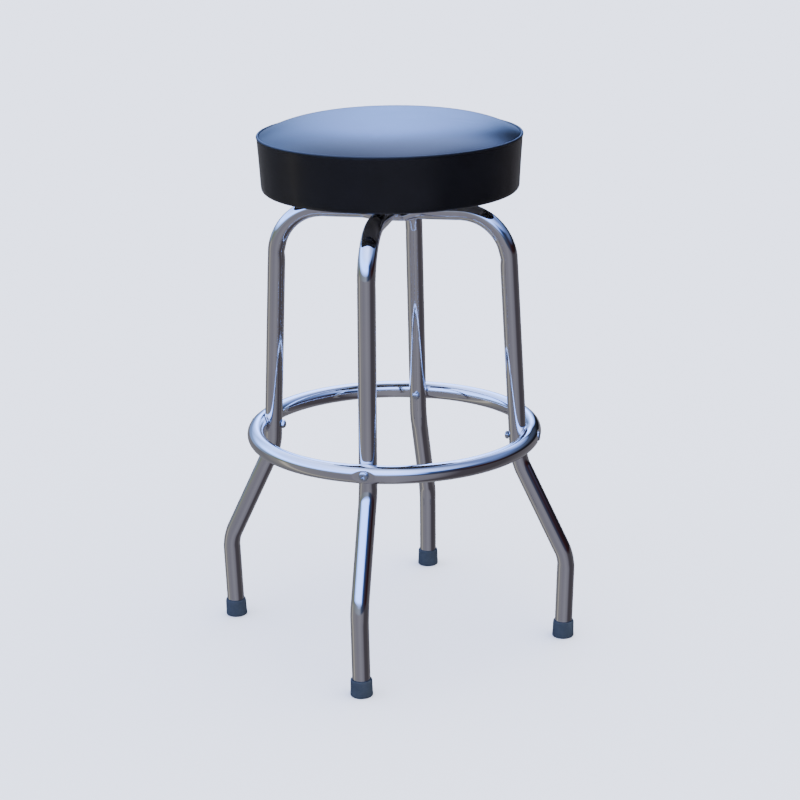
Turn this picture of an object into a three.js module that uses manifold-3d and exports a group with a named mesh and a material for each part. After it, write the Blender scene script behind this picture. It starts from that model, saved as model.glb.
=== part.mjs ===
// Swivel bar stool with a footrest ring.
//
// Two bent tubes cross under the seat and come down as four legs. A tubular
// ring is screwed to the outside of the legs as the footrest. A ball-bearing
// swivel joins the crossing to a round upholstered seat.
//
// Millimetres, +Z up. The origin is on the floor on the swivel axis. The front
// leg stands at -Y, the right leg at +X, the rear leg at +Y, the left at -X.

import * as THREE from 'three';
import { mergeVertices } from 'three/addons/utils/BufferGeometryUtils.js';
import Module from 'manifold-3d';

const wasm = await Module();
wasm.setup();

// ---- driving dimensions -------------------------------------------------

const SEAT_HEIGHT = 762;          // floor to the top of the crown
const CROWN_RISE = 25.8;          // welt line to the top of the crown
const SEAT_BOTTOM_Z = 659.9;      // lowest vinyl under the seat
const SEAT_TOP_R = 184.6;         // side band just under the welt
const SEAT_MID_R = 182.4;         // side band half way down
const SEAT_BOTTOM_R = 180.4;      // side band at the bottom edge
const VINYL_T = 1.2;

const TUBE_R = 12.7;              // 1 inch tube
const TUBE_WALL = 1.5;
const TUBE_SIDES = 10;

const TOP_RUN_Z = 629.5;          // centre line of the horizontal runs
const TOP_BEND_R = 70;            // centre-line radius of the top bends
const CORNER_R = 164.0;           // where leg and run centre lines would meet
const KNEE_UPPER = { r: 182.0, z: 269.8, bend: 80 };
const KNEE_LOWER = { r: 251.6, z: 123.4, bend: 65 };
const FOOT_R = 247.8;             // leg centre line at the floor
const TUBE_END_Z = 5.0;

const LAP_HEIGHT = 13.7;          // each tube is pressed to this at the crossing
const LAP_WIDTH = 32.0;
const LAP_FLAT = 18.0;            // half length that is fully pressed
const LAP_END = 44.0;             // half length where the tube is round again

const RING_R = 199.5;             // centre line of the foot ring
const RING_Z = 305.2;
const RING_TUBE_R = 12.7;

const SCREW_R = 3.1;              // quarter inch machine screw
const SCREW_HOLE_R = 3.5;

const TIP_HEIGHT = 25.0;
const TIP_BOTTOM_R = 15.8;
const TIP_TOP_R = 15.0;
const TIP_BORE_R = 13.3;
const TIP_FLOOR = 4.2;

const PLATE_T = 2.2;
const PLATE_SIDE = 130;
const PLATE_LOW_Z = 642.5;
const PLATE_HIGH_Z = 658.7;
const PLATE_HOLE_R = 50;          // distance of the plate screws from the axis
const BALL_R = 4.76;
const BALL_COUNT = 10;
const BALL_TRACK_R = 30;
const BALL_Z = 651.85;
const GROOVE_R = 5.2;

const BOARD_R = 174;
const BOARD_Z = 661.2;
const BOARD_T = 12.5;

// ---- small geometry tools -----------------------------------------------

const SIDES = [
  { name: 'front', angle: -Math.PI / 2 },
  { name: 'right', angle: 0 },
  { name: 'rear', angle: Math.PI / 2 },
  { name: 'left', angle: Math.PI },
];

const material = (color, roughness, metalness) =>
  new THREE.MeshStandardMaterial({ color, roughness, metalness });

const CHROME = [0xc9ccd6, 0.08, 1.0];
const ZINC = [0xa9b4c4, 0.3, 1.0];
const STEEL = [0x8d9096, 0.4, 1.0];
const BLACK_STEEL = [0x24262a, 0.5, 0.6];
const RUBBER = [0x4a5a6e, 0.75, 0.0];
const VINYL = [0x17181b, 0.38, 0.0];
const PLYWOOD = [0x1c1815, 0.7, 0.0];
const FOAM = [0xe4d9b4, 0.95, 0.0];
const ACETAL = [0xe9e6dc, 0.5, 0.0];

// Only positions, shared vertices, no slivers of zero area, facing outwards.
function clean(geometry) {
  const bare = new THREE.BufferGeometry();
  bare.setAttribute('position', new THREE.BufferAttribute(
    new Float32Array(geometry.attributes.position.array), 3));
  if (geometry.index) bare.setIndex(Array.from(geometry.index.array));
  const merged = mergeVertices(bare, 1e-3);
  const p = merged.attributes.position;
  const index = merged.index.array;
  const kept = [];
  let volume = 0;
  const a = new THREE.Vector3(), b = new THREE.Vector3(), c = new THREE.Vector3();
  for (let i = 0; i < index.length; i += 3) {
    const [i0, i1, i2] = [index[i], index[i + 1], index[i + 2]];
    if (i0 === i1 || i1 === i2 || i2 === i0) continue;
    kept.push(i0, i1, i2);
    a.fromBufferAttribute(p, i0); b.fromBufferAttribute(p, i1); c.fromBufferAttribute(p, i2);
    volume += a.dot(b.clone().cross(c));
  }
  if (volume < 0) for (let i = 0; i < kept.length; i += 3) [kept[i], kept[i + 1]] = [kept[i + 1], kept[i]];
  merged.setIndex(kept);
  return merged;
}

function toSolid(geometry) {
  const g = clean(geometry);
  return new wasm.Manifold(new wasm.Mesh({
    numProp: 3,
    vertProperties: new Float32Array(g.attributes.position.array),
    triVerts: new Uint32Array(g.index.array),
  }));
}

function toGeometry(solid) {
  const mesh = solid.getMesh();
  const g = new THREE.BufferGeometry();
  g.setAttribute('position', new THREE.BufferAttribute(new Float32Array(mesh.vertProperties), 3));
  g.setIndex(Array.from(mesh.triVerts));
  return g;
}

// A turned solid about Z from (radius, height) points, listed outside going up.
function turned(points, segments) {
  const g = new THREE.LatheGeometry(points.map(([r, z]) => new THREE.Vector2(r, z)), segments);
  g.rotateX(Math.PI / 2);
  return clean(g);
}

function cylinder(radius, z0, z1, segments = 12) {
  const g = new THREE.CylinderGeometry(radius, radius, z1 - z0, segments);
  g.rotateX(Math.PI / 2);
  g.translate(0, 0, (z0 + z1) / 2);
  return g;
}

// Turns a solid that was made along +Z so that it lies along +X at height z.
function alongX(geometry, z) {
  geometry.rotateY(Math.PI / 2);
  geometry.translate(0, 0, z);
  return geometry;
}

const group = new THREE.Group();

function add(name, geometry, look) {
  const mesh = new THREE.Mesh(geometry, material(...look));
  mesh.name = name;
  group.add(mesh);
  return mesh;
}

// ---- the leg frame ------------------------------------------------------

// A curve through stations that are exactly the places where the section is set.
class StationCurve extends THREE.Curve {
  constructor(stations) {
    super();
    this.stations = stations;
  }
  at(t, key, target) {
    const n = this.stations.length - 1;
    const x = Math.min(Math.max(t, 0), 1) * n;
    const i = Math.min(Math.floor(x + 1e-9), n - 1);
    return target.copy(this.stations[i][key]).lerp(this.stations[i + 1][key], x - i);
  }
  getPoint(t, target = new THREE.Vector3()) { return this.at(t, 'point', target); }
  getPointAt(t, target = new THREE.Vector3()) { return this.at(t, 'point', target); }
  getTangent(t, target = new THREE.Vector3()) { return this.at(t, 'tangent', target).normalize(); }
  getTangentAt(t, target = new THREE.Vector3()) { return this.getTangent(t, target); }
}

// Half of a tube's centre line in (r, z), from the foot to the crossing.
function halfProfile() {
  const corners = [
    { r: FOOT_R + (KNEE_LOWER.r - FOOT_R) * TUBE_END_Z / KNEE_LOWER.z, z: TUBE_END_Z },
    KNEE_LOWER,
    KNEE_UPPER,
    { r: CORNER_R, z: TOP_RUN_Z, bend: TOP_BEND_R },
    { r: 0, z: TOP_RUN_Z },
  ];
  const steps = [0, 3, 3, 6];
  const out = [];
  const direction = (a, b) => new THREE.Vector2(b.r - a.r, b.z - a.z).normalize();
  out.push({ p: new THREE.Vector2(corners[0].r, corners[0].z), t: direction(corners[0], corners[1]) });
  for (let i = 1; i < 4; i++) {
    const d0 = direction(corners[i - 1], corners[i]);
    const d1 = direction(corners[i], corners[i + 1]);
    const angle = Math.acos(d0.dot(d1));
    const reach = corners[i].bend * Math.tan(angle / 2);
    const start = new THREE.Vector2(corners[i].r, corners[i].z).addScaledVector(d0, -reach);
    const turn = Math.sign(d0.x * d1.y - d0.y * d1.x);
    const normal = new THREE.Vector2(-d0.y, d0.x).multiplyScalar(turn);
    const centre = start.clone().addScaledVector(normal, corners[i].bend);
    for (let k = 0; k <= steps[i]; k++) {
      const a = angle * k / steps[i] * turn;
      const arm = start.clone().sub(centre).rotateAround(new THREE.Vector2(), a);
      out.push({ p: centre.clone().add(arm), t: d0.clone().rotateAround(new THREE.Vector2(), a) });
    }
  }
  for (const r of [LAP_END, (LAP_FLAT + LAP_END) / 2 + 5, (LAP_FLAT + LAP_END) / 2 - 4, LAP_FLAT]) {
    out.push({ p: new THREE.Vector2(r, TOP_RUN_Z), t: new THREE.Vector2(-1, 0) });
  }
  return out;
}

// One whole tube in the XZ plane, foot to foot. level is +1 for the tube that
// passes over at the crossing and -1 for the one that passes under.
function frameTube(level) {
  const half = halfProfile();
  const stations = half.map(({ p, t }) => ({
    point: new THREE.Vector3(p.x, 0, p.y), tangent: new THREE.Vector3(t.x, 0, t.y),
  }));
  for (const { p, t } of [...half].reverse()) {
    stations.push({ point: new THREE.Vector3(-p.x, 0, p.y), tangent: new THREE.Vector3(t.x, 0, -t.y) });
  }
  const circle = (radius) => Array.from({ length: TUBE_SIDES }, (_, i) => {
    const a = 2 * Math.PI * i / TUBE_SIDES;
    return new THREE.Vector2(radius * Math.cos(a), radius * Math.sin(a));
  });
  const section = new THREE.Shape(circle(TUBE_R));
  section.holes.push(new THREE.Path(circle(TUBE_R - TUBE_WALL)));
  const g = new THREE.ExtrudeGeometry(section, {
    steps: stations.length - 1, bevelEnabled: false, extrudePath: new StationCurve(stations),
  });
  // Press the section where the two tubes lap.
  const p = g.attributes.position;
  const halfHeight = LAP_HEIGHT / 2;
  const shift = level > 0 ? TUBE_R - halfHeight : -(TUBE_R - halfHeight) - 2.3;
  for (let i = 0; i < p.count; i++) {
    const x = p.getX(i), z = p.getZ(i);
    if (Math.abs(x) > LAP_END || z < TOP_RUN_Z - 20) continue;
    const s = Math.min(Math.max((LAP_END - Math.abs(x)) / (LAP_END - LAP_FLAT), 0), 1);
    const f = s * s * (3 - 2 * s);
    const u = p.getY(i), v = z - TOP_RUN_Z;
    const wall = TUBE_R - Math.hypot(u, v);
    const kv = (halfHeight - wall) / (TUBE_R - wall);
    const ku = (LAP_WIDTH / 2 - wall) / (TUBE_R - wall);
    p.setY(i, u * (1 + (ku - 1) * f));
    p.setZ(i, TOP_RUN_Z + v * (1 + (kv - 1) * f) + shift * f);
  }
  // Screw holes for the ring and for the swivel plate.
  let solid = toSolid(g);
  for (const side of [1, -1]) {
    const through = alongX(cylinder(SCREW_HOLE_R, side > 0 ? 150 : -215, side > 0 ? 215 : -150, 9), RING_Z);
    solid = solid.subtract(toSolid(through));
    const top = cylinder(2.6, TOP_RUN_Z + 5, TOP_RUN_Z + 20, 8);
    top.translate(side * PLATE_HOLE_R, 0, 0);
    solid = solid.subtract(toSolid(top));
  }
  return toGeometry(solid);
}

const leftRight = frameTube(-1);
add('frame_tube_left_right', leftRight, CHROME);
const frontRear = frameTube(1);
frontRear.rotateZ(Math.PI / 2);
add('frame_tube_front_rear', frontRear, CHROME);

// ---- the foot ring ------------------------------------------------------

// The ring is dented on its inside where it lies round each leg, and on its
// outside under each screw head, with the wall kept the same thickness.
const legSlope = (CORNER_R - KNEE_UPPER.r) / (TOP_RUN_Z - KNEE_UPPER.z);
const legAtRing = KNEE_UPPER.r + legSlope * (RING_Z - KNEE_UPPER.z);

function legCutter(radius) {
  const g = cylinder(radius, -22, 22, 14);
  g.rotateY(Math.atan(legSlope));
  g.translate(legAtRing, 0, RING_Z);
  return g;
}

const HEAD_SEAT_R = RING_R + RING_TUBE_R - 3.0;   // bottom of the outer dent

function headDent(grow) {
  return alongX(turned([[0, HEAD_SEAT_R - grow], [7.5 + grow * 0.6, HEAD_SEAT_R - grow],
    [12.2 + grow * 0.8, RING_R + RING_TUBE_R + 2], [0, RING_R + RING_TUBE_R + 2]], 9), RING_Z);
}

function torus(radius) {
  const g = new THREE.TorusGeometry(RING_R, radius, 10, 44);
  g.translate(0, 0, RING_Z);
  return g;
}

let ringSolid = toSolid(torus(RING_TUBE_R));
let ringHollow = toSolid(torus(RING_TUBE_R - TUBE_WALL));
for (const { angle } of SIDES) {
  const cut = (geometry) => { geometry.rotateZ(angle); return toSolid(geometry); };
  ringSolid = ringSolid.subtract(cut(legCutter(TUBE_R + 0.7))).subtract(cut(headDent(0)));
  ringHollow = ringHollow.subtract(cut(legCutter(TUBE_R + 0.7 + TUBE_WALL)))
    .subtract(cut(headDent(TUBE_WALL)));
}
ringSolid = ringSolid.subtract(ringHollow);
for (const { angle } of SIDES) {
  const hole = alongX(cylinder(SCREW_HOLE_R, 185, 220, 9), RING_Z);
  hole.rotateZ(angle);
  ringSolid = ringSolid.subtract(toSolid(hole));
}
add('foot_ring', toGeometry(ringSolid), CHROME);

// ---- ring screws and cap nuts -------------------------------------------

const NUT_FACE_R = legAtRing - TUBE_R - 0.6;
const HEAD_UNDER_R = HEAD_SEAT_R + 0.3;

for (const { name, angle } of SIDES) {
  const screw = alongX(turned([
    [0, NUT_FACE_R - 3.2], [SCREW_R, NUT_FACE_R - 3.2], [SCREW_R, HEAD_UNDER_R], [6.8, HEAD_UNDER_R],
    [6.8, HEAD_UNDER_R + 2.0], [5.5, HEAD_UNDER_R + 3.1], [3.1, HEAD_UNDER_R + 3.6], [0, HEAD_UNDER_R + 3.7],
  ], 9), RING_Z);
  screw.rotateZ(angle);
  add(`ring_screw_${name}`, screw, ZINC);
}

for (const { name, angle } of SIDES) {
  const hex = cylinder(6.4, NUT_FACE_R - 3.4, NUT_FACE_R, 6);
  const dome = turned([[0, NUT_FACE_R - 5.5], [2.6, NUT_FACE_R - 5.2], [4.4, NUT_FACE_R - 4.4],
    [5.1, NUT_FACE_R - 3.3], [5.1, NUT_FACE_R - 1.5], [0, NUT_FACE_R - 1.5]], 9);
  const bore = cylinder(SCREW_R + 0.45, NUT_FACE_R - 3.7, NUT_FACE_R + 1, 9);
  const nut = alongX(toGeometry(toSolid(hex).add(toSolid(dome)).subtract(toSolid(bore))), RING_Z);
  nut.rotateZ(angle);
  add(`ring_cap_nut_${name}`, nut, ZINC);
}

// ---- rubber leg tips ----------------------------------------------------

for (const { name, angle } of SIDES) {
  const tip = turned([
    [0, 0], [TIP_BOTTOM_R - 1.2, 0], [TIP_BOTTOM_R, 1.2], [TIP_TOP_R + 0.3, TIP_HEIGHT - 9],
    [TIP_TOP_R, TIP_HEIGHT - 2], [TIP_TOP_R - 0.8, TIP_HEIGHT], [TIP_BORE_R, TIP_HEIGHT],
    [TIP_BORE_R, TIP_FLOOR], [0, TIP_FLOOR],
  ], 14);
  // The tip follows the lean of the leg but stands flat.
  const p = tip.attributes.position;
  const lean = (KNEE_LOWER.r - FOOT_R) / KNEE_LOWER.z;
  for (let i = 0; i < p.count; i++) p.setX(i, p.getX(i) + FOOT_R + lean * p.getZ(i));
  tip.rotateZ(angle);
  add(`leg_tip_${name}`, tip, RUBBER);
}

// ---- swivel: lower plate ------------------------------------------------

const groove = (sign) => [-3.4, -2, 0, 2, 3.4].map((d) =>
  [BALL_TRACK_R + d, BALL_Z + sign * Math.sqrt(GROOVE_R ** 2 - d ** 2)]);

function squarePlate(z, hole) {
  const h = PLATE_SIDE / 2, c = 10;
  const outline = [[-h + c, -h], [h - c, -h], [h, -h + c], [h, h - c], [h - c, h], [-h + c, h], [-h, h - c], [-h, -h + c]];
  const shape = new THREE.Shape(outline.map(([x, y]) => new THREE.Vector2(x, y)));
  shape.holes.push(new THREE.Path(Array.from({ length: 16 }, (_, i) => {
    const a = -2 * Math.PI * i / 16;
    return new THREE.Vector2(hole * Math.cos(a), hole * Math.sin(a));
  })));
  const g = new THREE.ExtrudeGeometry(shape, { depth: PLATE_T, bevelEnabled: false, steps: 1 });
  g.translate(0, 0, z);
  return g;
}

const Z1 = PLATE_LOW_Z, Z2 = PLATE_LOW_Z + PLATE_T;
const lowerRace = turned([
  [6.7, 646.8], [14, 646.8], [19, Z1], [42, Z1], [42, Z2], [35.6, Z2], [34.9, 648.4],
  ...groove(-1).reverse(), [25.1, 648.4], [24.4, Z2], [20, Z2], [15, 649.0], [6.7, 649.0], [6.7, 646.8],
], 16);
let lowerPlate = toSolid(lowerRace).add(toSolid(squarePlate(Z1, 40)));
for (const { angle } of SIDES) {
  const hole = cylinder(2.6, Z1 - 1, Z2 + 1, 8);
  hole.translate(PLATE_HOLE_R * Math.cos(angle), PLATE_HOLE_R * Math.sin(angle), 0);
  lowerPlate = lowerPlate.subtract(toSolid(hole));
}
add('swivel_lower_plate', toGeometry(lowerPlate), BLACK_STEEL);

for (const { name, angle } of SIDES) {
  const screw = turned([
    [0, TOP_RUN_Z + 6.5], [2.2, TOP_RUN_Z + 8.0], [2.2, Z2 + 0.3], [5, Z2 + 0.3], [5, Z2 + 2.2],
    [3.6, Z2 + 3.2], [0, Z2 + 3.4],
  ], 10);
  screw.translate(PLATE_HOLE_R * Math.cos(angle), PLATE_HOLE_R * Math.sin(angle), 0);
  add(`plate_screw_${name}`, screw, ZINC);
}

// ---- swivel: ball cage and balls ----------------------------------------

let cage = toSolid(turned([
  [23.6, BALL_Z - 0.5], [36.4, BALL_Z - 0.5], [36.4, BALL_Z + 0.5], [23.6, BALL_Z + 0.5], [23.6, BALL_Z - 0.5],
], 20));
for (let i = 0; i < BALL_COUNT; i++) {
  const a = 2 * Math.PI * i / BALL_COUNT;
  const pocket = cylinder(GROOVE_R + 0.05, BALL_Z - 2, BALL_Z + 2, 8);
  pocket.translate(BALL_TRACK_R * Math.cos(a), BALL_TRACK_R * Math.sin(a), 0);
  cage = cage.subtract(toSolid(pocket));
}
add('ball_cage', toGeometry(cage), STEEL);

for (let i = 0; i < BALL_COUNT; i++) {
  const a = 2 * Math.PI * i / BALL_COUNT;
  const ball = new THREE.SphereGeometry(BALL_R, 8, 6);
  ball.rotateX(Math.PI / 2);
  const mesh = add(`bearing_ball_${String(i + 1).padStart(2, '0')}`, clean(ball), STEEL);
  mesh.position.set(BALL_TRACK_R * Math.cos(a), BALL_TRACK_R * Math.sin(a), BALL_Z);
}

// ---- swivel: upper plate, pin and bushing -------------------------------

const Z3 = PLATE_HIGH_Z, Z4 = PLATE_HIGH_Z + PLATE_T;
const upperRace = turned([
  [6.4, Z3], [24.4, Z3], [25.1, 655.3], ...groove(1), [34.9, 655.3], [35.6, Z3], [42, Z3], [42, Z4], [6.4, Z4], [6.4, Z3],
], 16);
let upperPlate = toSolid(upperRace).add(toSolid(squarePlate(Z3, 40)));
const seatScrewAngles = [1, 3, 5, 7].map((n) => n * Math.PI / 4);
for (const angle of seatScrewAngles) {
  const hole = cylinder(2.6, Z3 - 1, Z4 + 1, 8);
  hole.translate(PLATE_HOLE_R * Math.cos(angle), PLATE_HOLE_R * Math.sin(angle), 0);
  upperPlate = upperPlate.subtract(toSolid(hole));
}
add('swivel_upper_plate', toGeometry(upperPlate), BLACK_STEEL);

add('swivel_pin', turned([
  [0, 643.2], [9.8, 643.2], [11, 644.2], [11, 646.4], [6, 646.4], [6, 661.3], [10, 661.3], [10, 662.8],
  [8, 664.3], [0, 664.3],
], 14), STEEL);

add('pivot_bushing', turned([
  [6.35, 649.35], [10.5, 649.35], [10.5, 658.35], [6.35, 658.35], [6.35, 649.35],
], 14), ACETAL);

// ---- seat board and its screws ------------------------------------------

let board = toSolid(turned([
  [0, BOARD_Z], [BOARD_R - 1, BOARD_Z], [BOARD_R, BOARD_Z + 1], [BOARD_R, BOARD_Z + BOARD_T - 1],
  [BOARD_R - 1, BOARD_Z + BOARD_T], [0, BOARD_Z + BOARD_T],
], 32)).subtract(toSolid(cylinder(11.5, BOARD_Z - 1, BOARD_Z + 5, 12)));

seatScrewAngles.forEach((angle, i) => {
  const x = PLATE_HOLE_R * Math.cos(angle), y = PLATE_HOLE_R * Math.sin(angle);
  const pilot = cylinder(2.5, BOARD_Z - 1, BOARD_Z + 10.4, 8);
  pilot.translate(x, y, 0);
  board = board.subtract(toSolid(pilot));
  const screw = turned([
    [0, Z3 - 3.5], [3.4, Z3 - 3.3], [4.6, Z3 - 2.2], [4.6, Z3 - 0.3], [2.15, Z3 - 0.3], [2.15, BOARD_Z + 8.2],
    [0, BOARD_Z + 9.8],
  ], 10);
  screw.translate(x, y, 0);
  add(`seat_screw_${i + 1}`, screw, ZINC);
});
add('seat_board', toGeometry(board), PLYWOOD);

// ---- upholstery ---------------------------------------------------------

const WELT_Z = SEAT_HEIGHT - CROWN_RISE;
const WELT_R = 1.9;
const WELT_TRACK_R = SEAT_TOP_R - 1.0;
const CROWN_EDGE_R = WELT_TRACK_R - WELT_R - 0.4;
const crownZ = (r) => WELT_Z + CROWN_RISE * (1 - (r / (WELT_TRACK_R - 0.6)) ** 4.4);
const crownStations = [0, 50, 90, 120, 145, 162, 174, CROWN_EDGE_R];

add('seat_foam', turned([
  [0, 674.1], [170, 674.1], [175.4, 677], [176.6, 684], [178.4, 706], [180.2, 726], [179.4, 733.0],
  [173.6, crownZ(174) - VINYL_T - 0.8],
  ...crownStations.slice(1, 6).reverse().map((r) => [r, crownZ(r) - VINYL_T - 0.6]),
  [0, SEAT_HEIGHT - VINYL_T - 0.6],
], 24), FOAM);

add('seat_cover_top', turned([
  ...crownStations.map((r) => [r, crownZ(r) - VINYL_T]),
  ...[...crownStations].reverse().map((r) => [r, crownZ(r)]),
], 32), VINYL);

const bandR = (z) => {
  // a shallow hollow curve through the three measured radii
  const t = (z - 664) / (WELT_Z - 3 - 664);
  return SEAT_BOTTOM_R * (1 - t) * (1 - 2 * t) + SEAT_MID_R * 4 * t * (1 - t) + SEAT_TOP_R * t * (2 * t - 1);
};
const bandZ = [665, 680, 704, WELT_Z - 2.6];
add('seat_cover_band', turned([
  [150, SEAT_BOTTOM_Z], [SEAT_BOTTOM_R - 5.4, SEAT_BOTTOM_Z], [SEAT_BOTTOM_R - 1.5, SEAT_BOTTOM_Z + 1.5],
  ...bandZ.map((z) => [bandR(z), z]),
  ...[...bandZ].reverse().map((z) => [bandR(z) - VINYL_T, z]),
  [SEAT_BOTTOM_R - 2.6, SEAT_BOTTOM_Z + 2.6], [SEAT_BOTTOM_R - 5.7, SEAT_BOTTOM_Z + 1.0],
  [150, SEAT_BOTTOM_Z + 1.0], [150, SEAT_BOTTOM_Z],
], 32), VINYL);

const welt = new THREE.TorusGeometry(WELT_TRACK_R, WELT_R, 7, 32);
welt.translate(0, 0, WELT_Z);
add('welt_piping', clean(welt), VINYL);

export default group;
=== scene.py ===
import math

import bmesh
import bpy
import numpy as np
from mathutils import Matrix, Vector


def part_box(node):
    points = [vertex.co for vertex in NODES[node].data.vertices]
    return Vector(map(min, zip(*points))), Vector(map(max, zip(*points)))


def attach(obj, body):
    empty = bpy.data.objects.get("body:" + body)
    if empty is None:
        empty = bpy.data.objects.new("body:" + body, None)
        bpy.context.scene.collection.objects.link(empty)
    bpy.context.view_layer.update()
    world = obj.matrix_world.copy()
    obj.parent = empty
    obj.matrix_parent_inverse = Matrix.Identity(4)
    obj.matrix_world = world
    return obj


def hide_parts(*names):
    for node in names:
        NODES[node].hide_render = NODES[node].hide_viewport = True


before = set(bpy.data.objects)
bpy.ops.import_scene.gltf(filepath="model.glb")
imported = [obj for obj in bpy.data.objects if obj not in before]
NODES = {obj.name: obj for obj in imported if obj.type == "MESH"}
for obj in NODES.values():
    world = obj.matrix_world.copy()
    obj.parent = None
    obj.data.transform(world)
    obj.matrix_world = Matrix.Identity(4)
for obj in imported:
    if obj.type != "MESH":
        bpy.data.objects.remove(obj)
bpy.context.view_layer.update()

MM = 0.001
PI = math.pi
scene = bpy.context.scene

# ---------------------------------------------------------------- dimensions, in mm, as in part.mjs
SEAT_HEIGHT, CROWN_RISE, SEAT_BOTTOM_Z = 762.0, 25.8, 659.9
SEAT_TOP_R, SEAT_MID_R, SEAT_BOTTOM_R, VINYL_T = 184.6, 182.4, 180.4, 1.2
TUBE_R, TUBE_WALL = 12.7, 1.5
TOP_RUN_Z, TOP_BEND_R, CORNER_R = 629.5, 70.0, 164.0
KNEE_UP, KNEE_LOW, FOOT_R, TUBE_END_Z = (182.0, 269.8, 80.0), (251.6, 123.4, 65.0), 247.8, 5.0
LAP_HEIGHT, LAP_WIDTH, LAP_FLAT, LAP_END = 13.7, 32.0, 18.0, 44.0
RING_R, RING_Z, RING_TUBE_R = 199.5, 305.2, 12.7
SCREW_R = 3.1
TIP_HEIGHT, TIP_BOTTOM_R, TIP_TOP_R, TIP_BORE_R, TIP_FLOOR = 25.0, 15.8, 15.0, 13.3, 4.2
PLATE_T, PLATE_SIDE, PLATE_LOW_Z, PLATE_HIGH_Z, PLATE_HOLE_R = 2.2, 130.0, 642.5, 658.7, 50.0
BALL_R, BALL_COUNT, BALL_TRACK_R, BALL_Z, GROOVE_R = 4.76, 10, 30.0, 651.85, 5.2
BOARD_R, BOARD_Z, BOARD_T = 174.0, 661.2, 12.5
WELT_Z, WELT_R = SEAT_HEIGHT - CROWN_RISE, 1.9
WELT_TRACK_R = SEAT_TOP_R - 1.0
CROWN_EDGE_R = WELT_TRACK_R - WELT_R - 0.4
SEAM_R = WELT_TRACK_R - 0.9            # where the top panel runs in under the piping
LEG_SLOPE = (CORNER_R - KNEE_UP[0]) / (TOP_RUN_Z - KNEE_UP[1])
LEG_AT_RING = KNEE_UP[0] + LEG_SLOPE * (RING_Z - KNEE_UP[1])
SIDES = [("front", -PI / 2), ("right", 0.0), ("rear", PI / 2), ("left", PI)]


def node_box(name):
    lo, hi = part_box(name)
    return [v / MM for v in lo], [v / MM for v in hi]


def same(what, a, b, tol=0.8):
    """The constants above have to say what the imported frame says."""
    if abs(a - b) > tol:
        raise RuntimeError(f"{what}: scene.py says {a:.2f} mm and the frame says {b:.2f} mm")


same("crown height", node_box("seat_cover_top")[1][2], SEAT_HEIGHT)
same("seat bottom", node_box("seat_cover_band")[0][2], SEAT_BOTTOM_Z)
same("welt radius", node_box("welt_piping")[1][0], WELT_TRACK_R + WELT_R)
same("ring outside", node_box("foot_ring")[1][2], RING_Z + RING_TUBE_R, 1.5)
same("tube top", node_box("frame_tube_front_rear")[1][2], TOP_RUN_Z + TUBE_R)
same("lower plate", node_box("swivel_lower_plate")[0][2], PLATE_LOW_Z)
same("upper plate", node_box("swivel_upper_plate")[1][2], PLATE_HIGH_Z + PLATE_T)
same("board", node_box("seat_board")[0][2], BOARD_Z)


# ---------------------------------------------------------------- camera
YAW_ROW = math.radians(11.8)       # the row frame is turned this far from the view


def make_camera():
    dist, height, yaw, pitch, roll, f_px = 2869.2, 1240.7, 0.0031, 0.3012, -0.0151, 2084.35
    fwd = np.array([math.sin(yaw) * math.cos(pitch), math.cos(yaw) * math.cos(pitch), -math.sin(pitch)])
    right = np.array([math.cos(yaw), -math.sin(yaw), 0.0])
    up = np.cross(right, fwd)
    r2 = math.cos(roll) * right + math.sin(roll) * up
    u2 = -math.sin(roll) * right + math.cos(roll) * up
    c, s = math.cos(YAW_ROW), math.sin(YAW_ROW)
    rz = np.array([[c, -s, 0], [s, c, 0], [0, 0, 1.0]])
    pos = rz @ np.array([0, -dist, height]) * MM
    cols = [rz @ r2, rz @ u2, rz @ -fwd]
    m = Matrix([[cols[0][i], cols[1][i], cols[2][i], pos[i]] for i in range(3)] + [[0, 0, 0, 1]])
    data = bpy.data.cameras.new("photo_camera")
    cam = bpy.data.objects.new("photo_camera", data)
    scene.collection.objects.link(cam)
    cam.matrix_world = m
    data.sensor_fit = "HORIZONTAL"
    data.sensor_width = 36.0
    data.lens = f_px * 36.0 / 800.0
    data.clip_start, data.clip_end = 0.05, 200.0
    scene.camera = cam


make_camera()


# ---------------------------------------------------------------- mesh tools
def new_object(name, verts, faces, smooth=True, scale=MM):
    me = bpy.data.meshes.new(name)
    v = np.asarray(verts, float) * scale
    me.from_pydata(v.tolist(), [], [tuple(int(i) for i in f) for f in faces])
    me.validate()
    me.polygons.foreach_set("use_smooth", [smooth] * len(me.polygons))
    me.update()
    ob = bpy.data.objects.new(name, me)
    scene.collection.objects.link(ob)
    return ob


def outward(ob):
    bm = bmesh.new()
    bm.from_mesh(ob.data)
    bmesh.ops.recalc_face_normals(bm, faces=bm.faces)
    bm.to_mesh(ob.data)
    bm.free()
    return ob


def grid_faces(nu, nv, loop_u=False, loop_v=False, flip=False):
    """Quads of a grid whose vertex (i, j) is i * nv + j."""
    iu = np.arange(nu if loop_u else nu - 1)
    jv = np.arange(nv if loop_v else nv - 1)
    i, j = np.meshgrid(iu, jv, indexing="ij")
    i2, j2 = (i + 1) % nu, (j + 1) % nv
    q = np.stack([i * nv + j, i2 * nv + j, i2 * nv + j2, i * nv + j2], -1).reshape(-1, 4)
    return q[:, ::-1] if flip else q


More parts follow.
